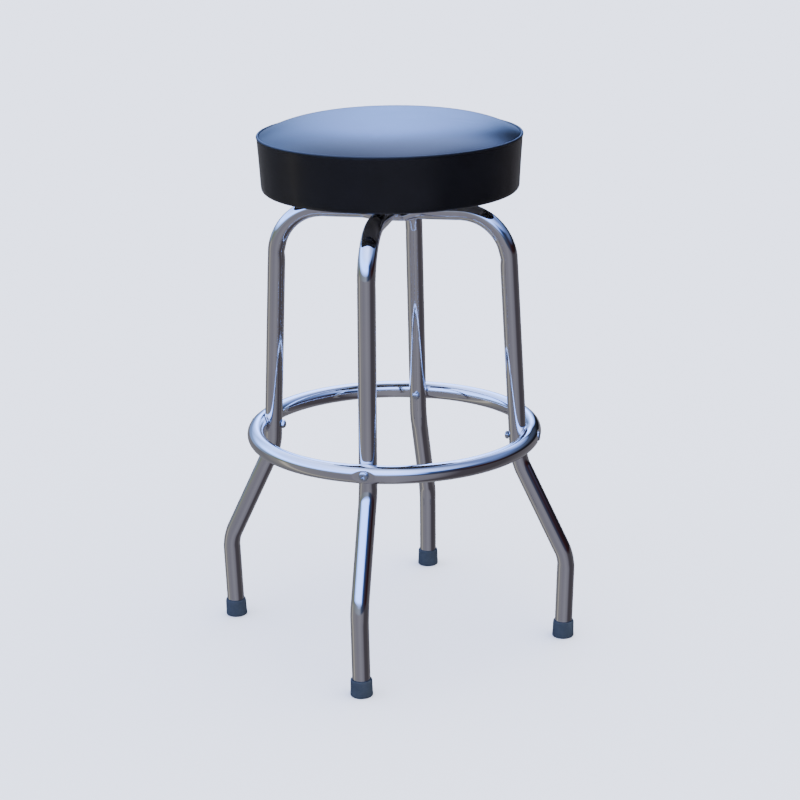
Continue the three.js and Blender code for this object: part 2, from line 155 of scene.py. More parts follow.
def lathe(name, profile, segments=96, smooth=True, radial=None, at=None):
    """A turned solid from (r, z) points, from the axis out and back to it, or a closed loop round a ring.
    radial(r, z, angle) may give a radius of its own."""
    prof = [tuple(p) for p in profile]
    ring = prof[0][0] > 1e-6 or prof[-1][0] > 1e-6
    ang = np.linspace(0, 2 * PI, segments, endpoint=False)
    verts, faces = [], []
    rows = []
    for r, z in prof:
        if r <= 1e-6:
            rows.append([len(verts)])
            verts.append((0, 0, z))
        else:
            rr = np.full(segments, float(r)) if radial is None else radial(r, z, ang)
            rows.append(list(range(len(verts), len(verts) + segments)))
            verts += list(zip(rr * np.cos(ang), rr * np.sin(ang), np.full(segments, float(z))))
    pairs = list(zip(rows[:-1], rows[1:])) + ([(rows[-1], rows[0])] if ring else [])
    for a, b in pairs:
        for k in range(segments):
            k2 = (k + 1) % segments
            if len(a) == 1 and len(b) == 1:
                break
            if len(a) == 1:
                faces.append((a[0], b[k2], b[k]))
            elif len(b) == 1:
                faces.append((a[k], a[k2], b[0]))
            else:
                faces.append((a[k], a[k2], b[k2], b[k]))
    ob = new_object(name, verts, faces, smooth)
    if at is not None:
        ob.data.transform(at)
    return outward(ob)


def rounded(profile, radius=0.4, steps=3, closed=False):
    """The profile with its corners rounded, so that edges catch light."""
    pts = [np.array(p, float) for p in profile]
    n = len(pts)
    out = []
    for i, p in enumerate(pts):
        if not closed and i in (0, n - 1):
            out.append(tuple(p))
            continue
        a, b = pts[(i - 1) % n], pts[(i + 1) % n]
        la, lb = np.linalg.norm(a - p), np.linalg.norm(b - p)
        if la < 1e-9 or lb < 1e-9:
            continue
        rad = radius(p) if callable(radius) else radius
        t = min(rad, la * 0.45, lb * 0.45)
        da, db = (a - p) / la, (b - p) / lb
        if np.dot(da, db) < -0.995:
            out.append(tuple(p))
            continue
        p0, p1 = p + da * t, p + db * t
        for k in range(steps + 1):
            s = k / steps
            out.append(tuple((1 - s) ** 2 * p0 + 2 * s * (1 - s) * p + s * s * p1))
    return out


def along_x(z):
    """Takes a solid made along +Z to lie along +X at height z, in metres."""
    return Matrix.Translation((0, 0, z * MM)) @ Matrix.Rotation(PI / 2, 4, "Y")


def turn(ob, angle):
    ob.data.transform(Matrix.Rotation(angle, 4, "Z"))
    return ob


def join(name, obs):
    """One object out of several meshes."""
    bm = bmesh.new()
    for o in obs:
        bm.from_mesh(o.data)
    me = bpy.data.meshes.new(name)
    bm.to_mesh(me)
    bm.free()
    for o in obs:
        bpy.data.objects.remove(o, do_unlink=True)
    ob = bpy.data.objects.new(name, me)
    scene.collection.objects.link(ob)
    return ob


def smoothstep(a, b, x):
    t = np.clip((np.asarray(x, float) - a) / (b - a), 0, 1)
    return t * t * (3 - 2 * t)


# ---------------------------------------------------------------- materials
def material(name):
    m = bpy.data.materials.new(name)
    m.use_nodes = True
    nt = m.node_tree
    nt.nodes.clear()
    out = nt.nodes.new("ShaderNodeOutputMaterial")
    b = nt.nodes.new("ShaderNodeBsdfPrincipled")
    nt.links.new(b.outputs[0], out.inputs[0])
    return m, nt, b


def node(nt, kind, inputs=None, **attrs):
    n = nt.nodes.new(kind)
    for k, v in attrs.items():
        setattr(n, k, v)
    for k, v in (inputs or {}).items():
        if isinstance(v, bpy.types.NodeSocket):
            nt.links.new(v, n.inputs[k])
        else:
            n.inputs[k].default_value = v
    return n


def coords(nt, scale=(1, 1, 1)):
    tc = nt.nodes.new("ShaderNodeTexCoord")
    mp = node(nt, "ShaderNodeMapping", {"Vector": tc.outputs["Object"], "Scale": scale})
    return mp.outputs[0]


def noise(nt, vec, scale, detail=4.0, rough=0.5, dist=0.0):
    return node(nt, "ShaderNodeTexNoise", {"Vector": vec, "Scale": scale, "Detail": detail, "Roughness": rough, "Distortion": dist}).outputs["Fac"]


def ramp(nt, fac, stops, interpolation="LINEAR"):
    r = nt.nodes.new("ShaderNodeValToRGB")
    r.color_ramp.interpolation = interpolation
    els = r.color_ramp.elements
    while len(els) < len(stops):
        els.new(0.5)
    for e, (p, c) in zip(els, stops):
        e.position = p
        e.color = (*c, 1) if len(c) == 3 else c
    nt.links.new(fac, r.inputs[0])
    return r.outputs[0]


def maprange(nt, fac, a, b, c, d):
    return node(nt, "ShaderNodeMapRange", {"Value": fac, "From Min": a, "From Max": b, "To Min": c, "To Max": d}).outputs[0]


def math_node(nt, op, a, b=0.0):
    n = nt.nodes.new("ShaderNodeMath")
    n.operation = op
    for k, v in ((0, a), (1, b)):
        if isinstance(v, bpy.types.NodeSocket):
            nt.links.new(v, n.inputs[k])
        else:
            n.inputs[k].default_value = v
    return n.outputs[0]


def mix_rgb(nt, fac, a, b, blend="MIX"):
    n = nt.nodes.new("ShaderNodeMix")
    n.data_type = "RGBA"
    n.blend_type = blend
    for k, v in ((0, fac), (6, a), (7, b)):
        if isinstance(v, bpy.types.NodeSocket):
            nt.links.new(v, n.inputs[k])
        else:
            n.inputs[k].default_value = v if k == 0 else (*v, 1)
    return n.outputs[2]


def bump(nt, b, height, strength, distance, previous=None):
    n = node(nt, "ShaderNodeBump", {"Height": height, "Strength": strength, "Distance": distance})
    if previous is not None:
        nt.links.new(previous, n.inputs["Normal"])
    nt.links.new(n.outputs[0], b.inputs["Normal"])
    return n.outputs[0]


def chrome_material():
    m, nt, b = material("polished_chrome")
    v = coords(nt)
    b.inputs["Metallic"].default_value = 1.0
    # a faint warm-cool drift in the plating and a few dulled, handled patches
    haze = noise(nt, v, 9.0, 5.0, 0.55)
    tint = ramp(nt, haze, [(0.3, (0.79, 0.80, 0.84)), (0.7, (0.86, 0.86, 0.88))])
    nt.links.new(tint, b.inputs["Base Color"])
    fine = noise(nt, v, 160.0, 6.0, 0.65)
    dull = math_node(nt, "MULTIPLY", maprange(nt, haze, 0.45, 0.75, 0.0, 1.0), maprange(nt, fine, 0.4, 0.7, 0.0, 1.0))
    nt.links.new(maprange(nt, dull, 0.0, 1.0, 0.045, 0.13), b.inputs["Roughness"])
    # slow waviness from the bending, and hair-fine polishing marks
    wave = noise(nt, v, 34.0, 2.0, 0.5)
    n1 = bump(nt, b, wave, 0.06, 0.0005)
    marks = noise(nt, coords(nt, (900.0, 900.0, 60.0)), 1.0, 2.0, 0.6)
    bump(nt, b, marks, 0.03, 0.00004, n1)
    return m


def zinc_material():
    m, nt, b = material("bright_zinc")
    v = coords(nt)
    b.inputs["Metallic"].default_value = 1.0
    c = ramp(nt, noise(nt, v, 420.0, 4.0, 0.6), [(0.3, (0.50, 0.56, 0.64)), (0.7, (0.68, 0.72, 0.78))])
    nt.links.new(c, b.inputs["Base Color"])
    nt.links.new(maprange(nt, noise(nt, v, 900.0, 3.0), 0.3, 0.7, 0.16, 0.32), b.inputs["Roughness"])
    bump(nt, b, noise(nt, v, 1600.0, 3.0), 0.15, 0.00008)
    return m


def steel_material(name, lo, hi, rough):
    m, nt, b = material(name)
    v = coords(nt)
    b.inputs["Metallic"].default_value = 1.0
    c = ramp(nt, noise(nt, v, 150.0, 5.0, 0.6), [(0.3, lo), (0.7, hi)])
    nt.links.new(c, b.inputs["Base Color"])
    nt.links.new(maprange(nt, noise(nt, v, 500.0, 4.0), 0.3, 0.7, rough - 0.05, rough + 0.1), b.inputs["Roughness"])
    bump(nt, b, noise(nt, v, 1200.0, 3.0), 0.12, 0.0001)
    return m


def powder_material():
    m, nt, b = material("black_powder_coat")
    v = coords(nt)
    c = ramp(nt, noise(nt, v, 60.0, 6.0, 0.6), [(0.35, (0.010, 0.010, 0.011)), (0.75, (0.024, 0.024, 0.026))])
    nt.links.new(c, b.inputs["Base Color"])
    nt.links.new(maprange(nt, noise(nt, v, 240.0, 3.0), 0.3, 0.7, 0.38, 0.52), b.inputs["Roughness"])
    bump(nt, b, noise(nt, v, 1500.0, 2.0), 0.35, 0.0001)
    return m


def rubber_material():
    m, nt, b = material("slate_rubber")
    v = coords(nt)
    big = noise(nt, v, 45.0, 5.0, 0.6)
    c = ramp(nt, big, [(0.25, (0.014, 0.020, 0.028)), (0.6, (0.020, 0.028, 0.038)), (0.85, (0.030, 0.040, 0.052))])
    nt.links.new(c, b.inputs["Base Color"])
    nt.links.new(maprange(nt, noise(nt, v, 260.0, 4.0), 0.3, 0.7, 0.55, 0.78), b.inputs["Roughness"])
    b.inputs["Specular IOR Level"].default_value = 0.30
    bump(nt, b, noise(nt, v, 1900.0, 3.0), 0.25, 0.00012)
    return m


def vinyl_material(name, fine=1.0):
    m, nt, b = material(name)
    v = coords(nt)
    c = ramp(nt, noise(nt, v, 26.0, 4.0, 0.5), [(0.0, (0.0012, 0.0013, 0.0017)), (1.0, (0.0036, 0.0037, 0.0047))])
    nt.links.new(c, b.inputs["Base Color"])
    b.inputs["IOR"].default_value = 1.52
    soft = noise(nt, v, 18.0, 3.0, 0.5)
    nt.links.new(maprange(nt, soft, 0.0, 1.0, 0.215 * fine, 0.255 * fine), b.inputs["Roughness"])
    # embossed grain: small irregular cells with creases between them
    warp = node(nt, "ShaderNodeTexNoise", {"Vector": v, "Scale": 700.0, "Detail": 2.0})
    vv = node(nt, "ShaderNodeVectorMath", {0: v}, operation="ADD")
    sc = node(nt, "ShaderNodeVectorMath", {0: warp.outputs["Color"], 3: 0.0006}, operation="SCALE")
    nt.links.new(sc.outputs[0], vv.inputs[1])
    cells = node(nt, "ShaderNodeTexVoronoi", {"Vector": vv.outputs[0], "Scale": 1150.0}, feature="DISTANCE_TO_EDGE")
    crease = maprange(nt, cells.outputs["Distance"], 0.0, 0.32, 0.0, 1.0)
    n1 = bump(nt, b, crease, 0.13, 0.00007)
    bump(nt, b, noise(nt, v, 90.0, 2.0, 0.5), 0.05, 0.0002, n1)
    return m


def wood_material():
    m, nt, b = material("near_black_plywood")
    v = coords(nt, (9.0, 120.0, 30.0))
    rings = noise(nt, v, 1.0, 8.0, 0.62, 0.6)
    # the whole board is near black, with dark wood tones and darker pores
    c = ramp(nt, rings, [(0.28, (0.010, 0.008, 0.007)), (0.5, (0.020, 0.016, 0.013)), (0.75, (0.034, 0.027, 0.021))])
    pores = noise(nt, coords(nt, (60.0, 2200.0, 300.0)), 1.0, 3.0, 0.6)
    c = mix_rgb(nt, maprange(nt, pores, 0.62, 0.8, 0.0, 0.55), c, (0.006, 0.005, 0.004))
    nt.links.new(c, b.inputs["Base Color"])
    nt.links.new(maprange(nt, rings, 0.3, 0.7, 0.62, 0.8), b.inputs["Roughness"])
    bump(nt, b, pores, 0.3, 0.0002)
    return m


def foam_material():
    m, nt, b = material("cushion_foam")
    v = coords(nt)
    cells = node(nt, "ShaderNodeTexVoronoi", {"Vector": v, "Scale": 900.0})
    c = ramp(nt, cells.outputs["Distance"], [(0.1, (0.52, 0.42, 0.20)), (0.6, (0.78, 0.70, 0.45))])
    nt.links.new(c, b.inputs["Base Color"])
    b.inputs["Roughness"].default_value = 0.95
    bump(nt, b, cells.outputs["Distance"], 0.6, 0.0004)
    return m


def acetal_material():
    m, nt, b = material("natural_acetal")
    v = coords(nt)
    c = ramp(nt, noise(nt, v, 90.0, 4.0), [(0.3, (0.70, 0.68, 0.62)), (0.7, (0.82, 0.80, 0.75))])
    nt.links.new(c, b.inputs["Base Color"])
    nt.links.new(maprange(nt, noise(nt, v, 500.0, 3.0), 0.3, 0.7, 0.38, 0.52), b.inputs["Roughness"])
    bump(nt, b, noise(nt, v, 1200.0, 2.0), 0.15, 0.0001)
    return m


CHROME, ZINC, RUBBER = chrome_material(), zinc_material(), rubber_material()
VINYL = vinyl_material("black_vinyl")
PIPING = vinyl_material("black_vinyl_piping", 2.0)
BEARING = steel_material("bearing_steel", (0.42, 0.42, 0.44), (0.62, 0.62, 0.64), 0.22)
STAPLE = steel_material("staple_wire", (0.50, 0.50, 0.52), (0.70, 0.70, 0.72), 0.28)
POWDER, WOOD, FOAM, ACETAL = powder_material(), wood_material(), foam_material(), acetal_material()


def finish_piece(ob, mat, body, replaces=()):
    ob.data.materials.clear()
    ob.data.materials.append(mat)
    if body is not None:
        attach(ob, body)
    if replaces:
        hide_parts(*replaces)
    return ob


# ---------------------------------------------------------------- the two frame tubes
def half_profile():
    """Stations of the centre line from the foot to the crossing: (r, z, tangent r, tangent z, bend amount)."""
    slope = (KNEE_LOW[0] - FOOT_R) / KNEE_LOW[1]
    corners = [
        np.array([FOOT_R + slope * TUBE_END_Z, TUBE_END_Z]),
        np.array(KNEE_LOW[:2]), np.array(KNEE_UP[:2]),
        np.array([CORNER_R, TOP_RUN_Z]), np.array([0.0, TOP_RUN_Z]),
    ]
    bends = [0, KNEE_LOW[2], KNEE_UP[2], TOP_BEND_R]
    steps = [0, 14, 14, 40]
    out = []

    def straight(a, b, gap):
        n = max(1, int(np.linalg.norm(b - a) / gap))
        d = (b - a) / np.linalg.norm(b - a)
        for k in range(1, n):
            out.append((*(a + (b - a) * k / n), *d, 0.0))

    d = (corners[1] - corners[0]) / np.linalg.norm(corners[1] - corners[0])
    out.append((*corners[0], *d, 0.0))
    last = corners[0]
    for i in range(1, 4):
        d0 = (corners[i] - corners[i - 1]) / np.linalg.norm(corners[i] - corners[i - 1])
        d1 = (corners[i + 1] - corners[i]) / np.linalg.norm(corners[i + 1] - corners[i])
        ang = math.acos(float(np.dot(d0, d1)))
        sign = 1.0 if d0[0] * d1[1] - d0[1] * d1[0] > 0 else -1.0
        start = corners[i] - d0 * bends[i] * math.tan(ang / 2)
        centre = start + np.array([-d0[1], d0[0]]) * sign * bends[i]
        straight(last, start, 6.0)
        for k in range(steps[i] + 1):
            a = ang * k / steps[i] * sign
            rot = np.array([[math.cos(a), -math.sin(a)], [math.sin(a), math.cos(a)]])
            ease = float(smoothstep(0, 0.3, k / steps[i]) * smoothstep(0, 0.3, 1 - k / steps[i]))
            out.append((*(centre + rot @ (start - centre)), *(rot @ d0), sign * ease))
        last = centre + rot @ (start - centre)
    straight(last, np.array([0.0, TOP_RUN_Z]), 2.5)
    out.append((0.0, TOP_RUN_Z, -1.0, 0.0, 0.0))
    return out


HALF = half_profile()


def frame_tube(name, level):
    st = HALF + [(-r, z, tr, -tz, b) for r, z, tr, tz, b in reversed(HALF[:-1])]
    n = len(st)
    sec = 56
    ang = np.linspace(0, 2 * PI, sec, endpoint=False)
    half = LAP_HEIGHT / 2
    shift = TUBE_R - half if level > 0 else -(TUBE_R - half) - 2.3
    lateral = np.array([0.0, 1.0, 0.0])

    def surface(radius):
        rows = []
        for i, (x, z, tx, tz, bend) in enumerate(st):
            t = np.array([tx, 0, tz])
            side = np.cross(lateral, t)           # in the plane of the tube
            # towards the centre line of the stool, so that marks land on the inside
            c, s = np.cos(ang), np.sin(ang)
            kin = 1.0 - 0.035 * abs(bend)
            kout = 1.0 + 0.018 * abs(bend)
            r_in = radius * kin * np.ones(sec)
            u, v = radius * kout * c, r_in * s
            p = np.array([x, 0, z])[None, :] + u[:, None] * lateral + v[:, None] * side
            # the mandrel leaves a faint collar and a thumb-sized flat where each top bend starts
            zz = p[:, 2]
            if z > 500 and abs(x) > LAP_END:
                zb = 561.0
                inner = -np.sign(x) * (p[:, 0] - x)
                mark = 0.32 * np.exp(-((zz - zb) / 3.2) ** 2)
                flat = 0.9 * np.exp(-((zz - zb - 2) / 6.0) ** 2) * smoothstep(2, 12, inner)
                nrm = (p - np.array([x, 0, z])) / radius
                p = p - nrm * (mark + flat)[:, None]
                xb = 97.4
                mark2 = 0.25 * np.exp(-((abs(p[:, 0]) - xb) / 3.0) ** 2) * smoothstep(600, 610, zz)
                p = p - nrm * mark2[:, None]
            # pressed flat where the two tubes lap
            a = abs(x)
            if a < LAP_END and z > 600:
                q = min(max((LAP_END - a) / (LAP_END - LAP_FLAT), 0), 1)
                f = q * q * (3 - 2 * q)
                wall = TUBE_R - radius
                kv = (half - wall) / radius
                ku = (LAP_WIDTH / 2 - wall) / radius
                uu, vv = p[:, 1], p[:, 2] - TOP_RUN_Z
                # squarer than an ellipse when pressed
                m = np.hypot(uu, vv) / radius
                cu, sv = uu / radius, vv / radius
                e = 1.0 - 0.42 * f
                pu = np.sign(cu) * np.abs(cu) ** (1.0 - 0.12 * f) * radius * (1 + (ku - 1) * f)
                pv = np.sign(sv) * np.abs(sv) ** e * radius * (1 + (kv - 1) * f)
                p[:, 1] = pu
                p[:, 2] = TOP_RUN_Z + pv + shift * f
            rows.append(p)
        return np.concatenate(rows)

    outer, inner = surface(TUBE_R), surface(TUBE_R - TUBE_WALL)
    verts = np.concatenate([outer, inner])
    m = n * sec
    faces = [tuple(q) for q in grid_faces(n, sec, loop_v=True)]
    faces += [tuple(m + q) for q in grid_faces(n, sec, loop_v=True, flip=True)]
    for k in range(sec):
        k2 = (k + 1) % sec
        faces.append((k, k2, m + k2, m + k))
        e = (n - 1) * sec
        faces.append((e + k2, e + k, m + e + k, m + e + k2))
    ob = outward(new_object(name, verts, faces))
    ob.data.set_sharp_from_angle(angle=math.radians(50))
    return ob


tube_lr = frame_tube("chrome_tube_left_right", -1)
finish_piece(tube_lr, CHROME, "base", ["frame_tube_left_right"])
tube_fr = turn(frame_tube("chrome_tube_front_rear", 1), PI / 2)
finish_piece(tube_fr, CHROME, "base", ["frame_tube_front_rear"])


# ---------------------------------------------------------------- the foot ring
def foot_ring():
    nu, sec = 880, 64
    t = (np.arange(nu // 4) + 0.5) / (nu // 8) - 1
    th = np.concatenate([q * PI / 2 + PI / 4 * (0.35 * t + 0.65 * t ** 3) for q in range(4)])
    ph = np.linspace(0, 2 * PI, sec, endpoint=False)

    def surface(a):
        T, P = np.meshgrid(th, ph, indexing="ij")
        r = RING_R + a * np.cos(P)
        z = a * np.sin(P)
        x, y = r * np.cos(T), r * np.sin(T)
        wall = TUBE_R - a
        for _, angle in SIDES:
            c, s = math.cos(angle), math.sin(angle)
            lx, ly = x * c + y * s, -x * s + y * c
            near = smoothstep(46, 30, np.abs(ly)) * (lx > 0)
            # the inside wall wraps the leg
            axis = LEG_AT_RING + LEG_SLOPE * z
            cr = TUBE_R + 0.35 + wall
            y0 = 0.8 * cr
            ay = np.abs(ly)
            base = np.sqrt(np.maximum(cr ** 2 - np.minimum(ay, y0) ** 2, 1e-6))
            lim = axis + np.where(ay > y0, base - (ay - y0) * (y0 / math.sqrt(cr ** 2 - y0 ** 2)), base)
            pen = lim - lx
            k = 0.8
            push = np.where(pen > 8 * k, pen, k * np.log1p(np.exp(np.clip(pen / k, -40, 40))))
            inside = smoothstep(RING_R + 5.0, RING_R - 3.0, lx)
            lx = lx + push * near * inside * smoothstep(30, 20, ay)
            # squeezed a little taller there
            z = z * (1 + 0.035 * np.exp(-(ly / 15.0) ** 2) * inside)
            # a conical dent on the outside, pulled in by the screw, flat under its head
            d = np.hypot(ly, z)
            dent = RING_R + RING_TUBE_R - 3.0 + 0.30 * np.maximum(d - 7.2, 0)
            k = 0.30
            m = np.minimum(lx, dent)
            soft = m - k * np.log(np.exp(-(lx - m) / k) + np.exp(-np.minimum(dent - m, 40) / k))
            hit = smoothstep(RING_R + 1.0, RING_R + 5.0, lx) * near
            lx = lx + (soft - lx) * hit
            x, y = lx * c - ly * s, lx * s + ly * c
        # a ground butt weld at the back left, hardly raised
        tw = math.radians(128)
        dth = np.angle(np.exp(1j * (T - tw)))
        bead = 0.12 * np.exp(-(dth * RING_R / 2.2) ** 2) * (1 + 0.4 * np.sin(P * 9))
        k = 1 + (bead / TUBE_R if wall < 0.1 else 0)
        return np.stack([x, y, RING_Z + z * k], -1).reshape(-1, 3)

    outer = surface(RING_TUBE_R)
    faces = [tuple(q) for q in grid_faces(nu, sec, True, True)]
    return outward(new_object("chrome_foot_ring", outer, faces))


ring = foot_ring()
finish_piece(ring, CHROME, "base", ["foot_ring"])


# ---------------------------------------------------------------- ring screws, cap nuts
HEAD_UNDER = RING_R + RING_TUBE_R - 3.0 + 0.05
NUT_FACE = LEG_AT_RING - TUBE_R - 0.6


def phillips_screw(name, z_tip, shank_r, z_head, head_r, head_h, cross=2.7, washer=False):
    """A pan head screw along +Z with a Phillips recess, in mm."""
    seg, rings = 96, 30
    ang = np.linspace(0, 2 * PI, seg, endpoint=False)
    rows = [[(0, 0, z_tip)]]
    shank = [(shank_r * 0.72, z_tip), (shank_r, z_tip + 0.9), (shank_r, z_head - 0.02), (head_r * 0.94, z_head),
             (head_r, z_head + 0.25), (head_r, z_head + head_h * 0.26), (head_r * 0.985, z_head + head_h * 0.36), (head_r * 0.97, z_head + head_h * 0.42)]
    for r, z in shank:
        rows.append([(r * math.cos(a), r * math.sin(a), z) for a in ang])
    for k in range(1, rings):
        q = k / rings
        r = head_r * 0.97 * (1 - q)
        # low crown
        z = z_head + head_h * (0.42 + 0.58 * math.sqrt(max(1 - (1 - q) ** 2.0, 0)))
        x, y = r * np.cos(ang), r * np.sin(ang)
        w = 0.62
        ax, ay = np.abs(x), np.abs(y)
        arm_x = smoothstep(w + 0.22, w - 0.08, ay) * smoothstep(cross + 0.15, cross - 0.5, ax)
        arm_y = smoothstep(w + 0.22, w - 0.08, ax) * smoothstep(cross + 0.15, cross - 0.5, ay)
        core = smoothstep(1.75, 1.0, np.hypot(x, y))
        hole = np.maximum(np.maximum(arm_x, arm_y), core)
        dep = hole * (0.75 + 1.25 * np.clip(1 - np.hypot(x, y) / cross, 0, 1))
        rows.append([(x[i], y[i], z - dep[i]) for i in range(seg)])
    rows.append([(0, 0, z_head + head_h - 2.0)])
    verts, idx = [], []
    for row in rows:
        idx.append(list(range(len(verts), len(verts) + len(row))))
        verts += row
    faces = []
    for a, b in zip(idx[:-1], idx[1:]):
        for k in range(seg):
            k2 = (k + 1) % seg
            if len(a) == 1:
                faces.append((a[0], b[k2], b[k]))
            elif len(b) == 1:
                faces.append((a[k], a[k2], b[0]))
            else:
                faces.append((a[k], a[k2], b[k2], b[k]))
    ob = outward(new_object(name, verts, faces))
    ob.data.set_sharp_from_angle(angle=math.radians(48))
    return ob


def acorn_nut(name):
    """A low cap nut along +Z: its open face at NUT_FACE, dome towards the stool's axis."""
    af = 5.55

    def hexagonal(r, z, ang):
        if r < 5.3 or z < NUT_FACE - 3.4:
            return np.full(len(ang), float(r))
        a = (ang + PI / 6) % (PI / 3) - PI / 6
        return np.minimum(af / np.cos(a), r)

    prof = [(0, NUT_FACE - 5.5)]
    for k in range(1, 11):
        a = k / 10 * PI / 2
        prof.append((5.05 * math.sin(a), NUT_FACE - 3.3 - 2.2 * math.cos(a)))
    prof += [(5.25, NUT_FACE - 3.25), (5.7, NUT_FACE - 3.2), (6.1, NUT_FACE - 3.0), (6.4, NUT_FACE - 2.6),
             (6.41, NUT_FACE - 0.5), (5.9, NUT_FACE - 0.05), (5.2, NUT_FACE), (3.5, NUT_FACE), (3.4, NUT_FACE - 0.4), (3.4, NUT_FACE - 3.6), (0, NUT_FACE - 3.9)]
    ob = lathe(name, prof, 96, radial=hexagonal)
    ob.data.set_sharp_from_angle(angle=math.radians(32))
    return ob


for k, (side, angle) in enumerate(SIDES):
    screw = phillips_screw(f"pan_head_screw_{side}", NUT_FACE - 3.2, SCREW_R, HEAD_UNDER, 6.75, 3.6, 3.1)
    screw.data.transform(Matrix.Rotation([0.5, 1.1, 0.2, 0.85][k], 4, "Z"))
    screw.data.transform(along_x(RING_Z))
    finish_piece(turn(screw, angle), ZINC, "base", [f"ring_screw_{side}"])
    nut = acorn_nut(f"acorn_nut_{side}")
    nut.data.transform(Matrix.Rotation([0.2, 0.7, 0.45, 0.95][k], 4, "Z"))
    nut.data.transform(along_x(RING_Z))
    finish_piece(turn(nut, angle), ZINC, "base", [f"ring_cap_nut_{side}"])


# ---------------------------------------------------------------- rubber leg tips
def leg_tip(side, angle):
    prof = [(0, 0.5), (3.5, 0.5), (4.0, 0.1), (7.0, 0.05), (7.5, 0.5), (9.2, 0.5), (9.7, 0.05), (12.4, 0.0), (TIP_BOTTOM_R - 1.4, 0.0),
            (TIP_BOTTOM_R - 0.5, 0.35), (TIP_BOTTOM_R, 1.3), (TIP_BOTTOM_R + 0.02, 2.2), (TIP_BOTTOM_R - 0.28, 8.0), (TIP_TOP_R + 0.35, 14.0),
            (TIP_TOP_R + 0.28, TIP_HEIGHT - 5.2), (TIP_TOP_R + 0.22, TIP_HEIGHT - 3.6), (TIP_TOP_R - 0.15, TIP_HEIGHT - 1.6),
            (TIP_TOP_R - 0.75, TIP_HEIGHT - 0.4), (TIP_TOP_R - 1.15, TIP_HEIGHT - 0.05), (TUBE_R + 0.5, TIP_HEIGHT - 0.25),
            (TUBE_R + 0.12, TIP_HEIGHT - 1.2), (TUBE_R + 0.1, TIP_FLOOR + 0.6), (TUBE_R - 0.5, TIP_FLOOR), (0, TIP_FLOOR)]
    ob = lathe(f"rubber_tip_{side}", rounded(prof, 0.5, 3), 96)
    lean = (KNEE_LOW[0] - FOOT_R) / KNEE_LOW[1]
    co = np.empty(len(ob.data.vertices) * 3)
    ob.data.vertices.foreach_get("co", co)
    co = co.reshape(-1, 3)
    # moulding flash: two faint lines down the sides
    a = np.arctan2(co[:, 1], co[:, 0])
    rad = np.hypot(co[:, 0], co[:, 1])
    line = 0.00016 * (np.exp(-((a - PI / 2) / 0.02) ** 2) + np.exp(-((a + PI / 2) / 0.02) ** 2)) * (rad > 0.0146)
    co[:, 0] += line * np.cos(a)
    co[:, 1] += line * np.sin(a)
    co[:, 0] += FOOT_R * MM + lean * co[:, 2]
    ob.data.vertices.foreach_set("co", co.ravel())
    ob.data.update()
    finish_piece(turn(ob, angle), RUBBER, "base", [f"leg_tip_{side}"])


for side, angle in SIDES:
    leg_tip(side, angle)


# ---------------------------------------------------------------- the swivel
def square_plate(name, z0, hole_r, thickness=PLATE_T, holes=()):
    """A square plate with round corners and a round middle, as one closed mesh."""
    h, c = PLATE_SIDE / 2, 10.0
    seg = 192
    ang = np.linspace(0, 2 * PI, seg, endpoint=False) + PI / seg
    outline = []
    for a in ang:
        d = np.array([math.cos(a), math.sin(a)])
        t = h / max(abs(d[0]), abs(d[1]))
        p = d * t
        q = np.abs(p)
        over = q - (h - c)
        if over[0] > 0 and over[1] > 0:
            # walk in to the corner circle
            lo, hi = 0.0, t
            for _ in range(40):
                mid = (lo + hi) / 2
                o = np.abs(d * mid) - (h - c)
                if o[0] > 0 and o[1] > 0 and math.hypot(*o) > c:
                    hi = mid
                else:
                    lo = mid
            p = d * lo
        outline.append(p)
    outline = np.array(outline)
    circle = np.stack([np.cos(ang), np.sin(ang)], -1) * hole_r
    e = 0.5
    rows = []

    def row(f, z):
        rows.append(np.concatenate([circle + (outline - circle) * f[:, None] if isinstance(f, np.ndarray) else circle + (outline - circle) * f, np.full((seg, 1), z)], 1))
    length = np.linalg.norm(outline - circle, axis=1)
    full = np.ones(seg)
    row(np.zeros(seg), z0)
    row(1 - e / length, z0)
    row(1 - e * 0.3 / length, z0 + e * 0.3)
    row(full, z0 + e)
    row(full, z0 + thickness - e)
    row(1 - e * 0.3 / length, z0 + thickness - e * 0.3)
    row(1 - e / length, z0 + thickness)
    row(np.zeros(seg), z0 + thickness)
    verts = np.concatenate(rows)
    faces = grid_faces(len(rows), seg, loop_u=True, loop_v=True)
    ob = outward(new_object(name, verts, faces))
    ob.data.set_sharp_from_angle(angle=math.radians(40))
    return ob


def groove(sign, n=13):
    return [(BALL_TRACK_R + d, BALL_Z + sign * math.sqrt(GROOVE_R ** 2 - d * d)) for d in np.linspace(-3.4, 3.4, n)]


Z1, Z2 = PLATE_LOW_Z, PLATE_LOW_Z + PLATE_T
Z3, Z4 = PLATE_HIGH_Z, PLATE_HIGH_Z + PLATE_T


def hub(name, prof):
    g = rounded(prof, lambda p: 0.9 if p[0] < 40 else 0.3, 3, closed=True)
    ob = lathe(name, g, 120)
    ob.data.set_sharp_from_angle(angle=math.radians(40))
    return ob


low_hub = hub("low_hub", [(6.7, 646.8), (14, 646.8), (19, Z1), (41.5, Z1), (41.5, Z2), (35.6, Z2), (34.9, 648.4), *reversed(groove(-1)),
                          (25.1, 648.4), (24.4, Z2), (20, Z2), (15, 649.0), (6.7, 649.0)])
lower_plate = join("swivel_plate_lower", [low_hub, square_plate("low_sq", Z1, 41.5)])
finish_piece(lower_plate, POWDER, "base", ["swivel_lower_plate"])

up_hub = hub("up_hub", [(6.4, Z3), (24.4, Z3), (25.1, 655.3), *groove(1), (34.9, 655.3), (35.6, Z3), (41.5, Z3), (41.5, Z4), (6.4, Z4)])
upper_plate = join("swivel_plate_upper", [up_hub, square_plate("up_sq", Z3, 41.5)])
finish_piece(upper_plate, POWDER, "seat", ["swivel_upper_plate"])

